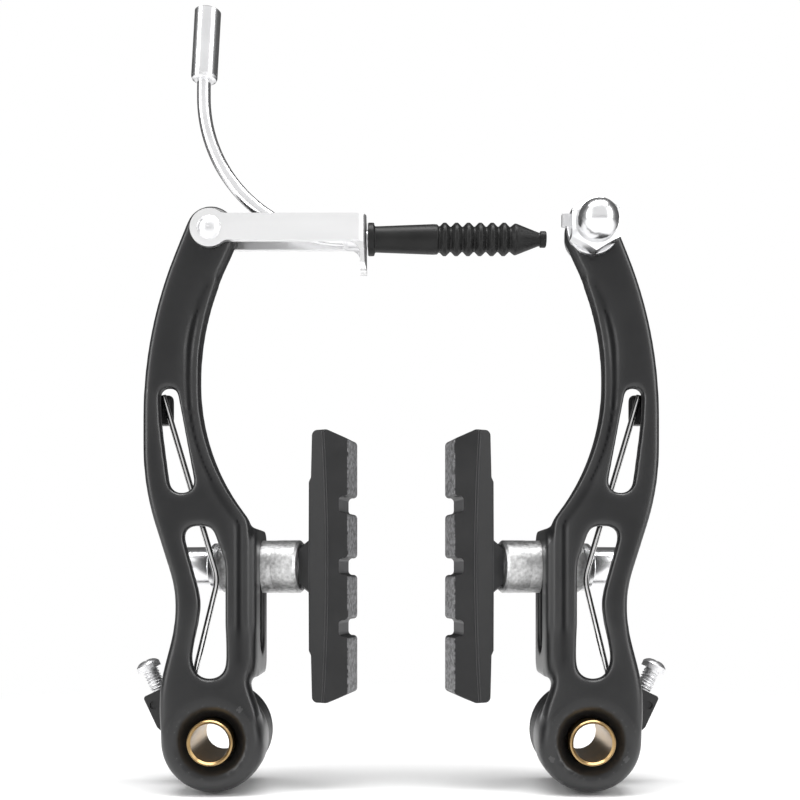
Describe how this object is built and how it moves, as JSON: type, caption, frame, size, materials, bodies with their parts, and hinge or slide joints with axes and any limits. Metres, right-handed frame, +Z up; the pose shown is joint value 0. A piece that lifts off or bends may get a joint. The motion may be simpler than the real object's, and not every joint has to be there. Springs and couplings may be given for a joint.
{
  "type": "v brake",
  "caption": "Linear-pull bicycle rim brake: black cast arms, long pads on ball-seated posts, a bent cable guide pipe with rubber boot, return springs and a cable anchor.",
  "frame": {"origin": "midway between the two frame bosses, level with the rear ends of the pivot bushes", "axes": "+X to the viewer's right, +Y to the rear towards the fork, +Z up along the arms"},
  "size_m": [0.1186, 0.0382, 0.1656],
  "materials": {
    "black_paint": "satin",
    "brass": "turned",
    "black_plastic": "moulded",
    "steel": "zinc plated",
    "spring_steel": "drawn wire",
    "sanded_steel": "sanded",
    "link_steel": "satin sheet",
    "chrome": "polished",
    "pad_rubber": "moulded, with a rough braking face",
    "boot_rubber": "moulded",
    "liner_plastic": "drawn tube"
  },
  "bodies": {
    "root": {"left_bush": "brass", "left_spring_housing": "black_plastic", "left_housing_cover": "black_plastic", "left_stop_pin": "steel", "left_return_spring": "spring_steel", "right_bush": "brass", "right_spring_housing": "black_plastic", "right_housing_cover": "black_plastic", "right_stop_pin": "steel", "right_return_spring": "spring_steel"},
    "left_arm": {"left_arm": "black_paint"},
    "right_arm": {"right_arm": "black_paint", "anchor_bolt": "steel", "anchor_washer": "steel", "anchor_nut": "chrome"},
    "link": {"cable_link": "link_steel", "link_rivet": "steel"},
    "guide": {"guide_pipe": "chrome", "pipe_liner": "liner_plastic", "pipe_socket": "chrome", "pipe_nose": "steel", "rubber_boot": "boot_rubber"},
    "left_ball_washers": {"left_ball_washer_inner": "sanded_steel", "left_ball_washer_outer": "sanded_steel"},
    "left_cup_washers": {"left_cup_spacer_inner": "sanded_steel", "left_cup_washer_outer": "sanded_steel"},
    "left_pad": {"left_pad_block": "pad_rubber", "left_pad_stud": "steel", "left_flat_washer": "steel", "left_pad_nut": "chrome"},
    "left_screw": {"left_tension_screw": "steel"},
    "right_ball_washers": {"right_ball_washer_inner": "sanded_steel", "right_ball_washer_outer": "sanded_steel"},
    "right_cup_washers": {"right_cup_spacer_inner": "sanded_steel", "right_cup_washer_outer": "sanded_steel"},
    "right_pad": {"right_pad_block": "pad_rubber", "right_pad_stud": "steel", "right_flat_washer": "steel", "right_pad_nut": "chrome"},
    "right_screw": {"right_tension_screw": "steel"}
  },
  "joints": [
    {"name": "left_arm_pivot", "type": "hinge", "parent": "root", "child": "left_arm", "pos_m": [-0.04, 0, 0], "axis": [0, -1, 0], "range_deg": [-0.5, 25], "stiffness_Nm_per_rad": 1.1, "deforming": ["left_return_spring"]},
    {"name": "left_pad_height", "type": "slide", "parent": "left_arm", "child": "left_ball_washers", "axis": [0, 0, 1], "range_m": [-0.0153, 0.0012]},
    {"name": "left_pad_toe", "type": "hinge", "parent": "left_ball_washers", "child": "left_cup_washers", "pos_m": [-0.0318, -0.007, 0.037], "axis": [0, 0, 1], "range_deg": [0, 14]},
    {"name": "left_pad_spin", "type": "hinge", "parent": "left_cup_washers", "child": "left_pad", "pos_m": [-0.0318, -0.007, 0.037], "axis": [0.9781, -0.2079, 0], "range_deg": [-90, 90]},
    {"name": "left_screw_turn", "type": "hinge", "parent": "root", "child": "left_screw", "pos_m": [-0.0564, -0.0024, 0.014], "axis": [0.4226, 0, -0.9063], "range_deg": [-360, 360]},
    {"name": "right_arm_pivot", "type": "hinge", "parent": "root", "child": "right_arm", "pos_m": [0.04, 0, 0], "axis": [0, 1, 0], "range_deg": [-0.5, 25], "stiffness_Nm_per_rad": 1.1, "deforming": ["right_return_spring"]},
    {"name": "right_pad_height", "type": "slide", "parent": "right_arm", "child": "right_ball_washers", "axis": [0, 0, 1], "range_m": [-0.0153, 0.0012]},
    {"name": "right_pad_toe", "type": "hinge", "parent": "right_ball_washers", "child": "right_cup_washers", "pos_m": [0.0318, -0.007, 0.037], "axis": [0, 0, -1], "range_deg": [0, 14]},
    {"name": "right_pad_spin", "type": "hinge", "parent": "right_cup_washers", "child": "right_pad", "pos_m": [0.0318, -0.007, 0.037], "axis": [-0.9781, -0.2079, 0], "range_deg": [-90, 90]},
    {"name": "right_screw_turn", "type": "hinge", "parent": "root", "child": "right_screw", "pos_m": [0.0564, -0.0024, 0.014], "axis": [-0.4226, 0, -0.9063], "range_deg": [-360, 360]},
    {"name": "link_pivot", "type": "hinge", "parent": "left_arm", "child": "link", "pos_m": [-0.04, -0.0165, 0.1074], "axis": [0, -1, 0], "range_deg": [-30, 90]},
    {"name": "guide_swivel", "type": "hinge", "parent": "link", "child": "guide", "pos_m": [-0.008, -0.0165, 0.1061], "axis": [1, 0, 0], "range_deg": [-12, 12]}
  ]
}
